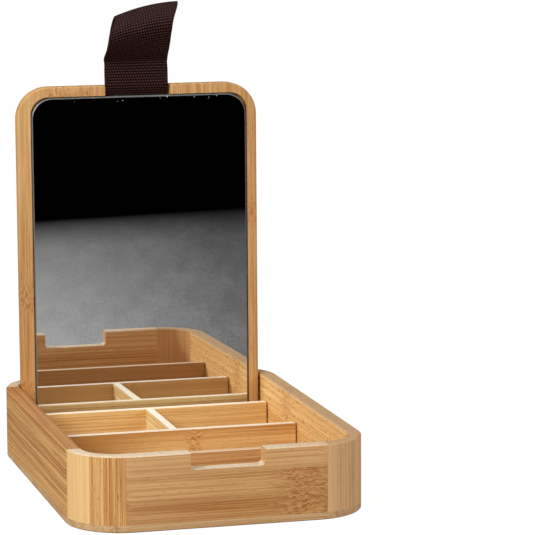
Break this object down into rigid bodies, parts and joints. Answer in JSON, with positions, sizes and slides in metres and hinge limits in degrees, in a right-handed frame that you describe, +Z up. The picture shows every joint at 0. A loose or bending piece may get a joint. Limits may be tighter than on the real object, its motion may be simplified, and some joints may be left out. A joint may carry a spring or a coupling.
{
  "type": "vanity box with mirror",
  "caption": "Flat bamboo vanity box with rounded corners, open compartments, and a hinged lid that carries a mirror and a folded webbing pull loop.",
  "frame": {"origin": "middle of the box's underside", "axes": "+Z up, +Y towards the hinge side, +X to the right of someone facing the mirror"},
  "size_m": [0.165, 0.234, 0.2679],
  "materials": {
    "bamboo_frame": "satin oiled bamboo, strips running along each wall",
    "bamboo_end_grain": "satin oiled bamboo, upright grain with end grain on the rim",
    "bamboo_board": "satin oiled bamboo, laminated strips",
    "mirror_glass": "silvered float glass with ground edges",
    "tape": "white foam tape",
    "webbing": "dark brown ribbed nylon webbing",
    "steel_pin": "drawn steel"
  },
  "bodies": {
    "box": {"base_board": "bamboo_board", "wall_front": "bamboo_frame", "wall_rear": "bamboo_frame", "wall_left": "bamboo_frame", "wall_right": "bamboo_frame", "corner_front_left": "bamboo_end_grain", "corner_front_right": "bamboo_end_grain", "corner_rear_left": "bamboo_end_grain", "corner_rear_right": "bamboo_end_grain", "divider_front": "bamboo_board", "divider_middle": "bamboo_board", "divider_rear": "bamboo_board", "divider_cross": "bamboo_board"},
    "pins": {"hinge_pin_left": "steel_pin", "hinge_pin_right": "steel_pin"},
    "lid": {"lid_board": "bamboo_board", "mirror_glass": "mirror_glass", "mirror_tape": "tape", "strap_loop": "webbing"}
  },
  "joints": [
    {"name": "pin_lift", "type": "slide", "parent": "box", "child": "pins", "axis": [0, 0, 1], "range_m": [0, 0.0169]},
    {"name": "lid_swing", "type": "hinge", "parent": "pins", "child": "lid", "pos_m": [0, 0.09241, 0.01965], "axis": [-1, 0, 0], "range_deg": [-90.7, 0]}
  ],
  "couplings": [
    {"joint": "pin_lift", "follows": "lid_swing", "m_per_rad": -0.010643}
  ]
}
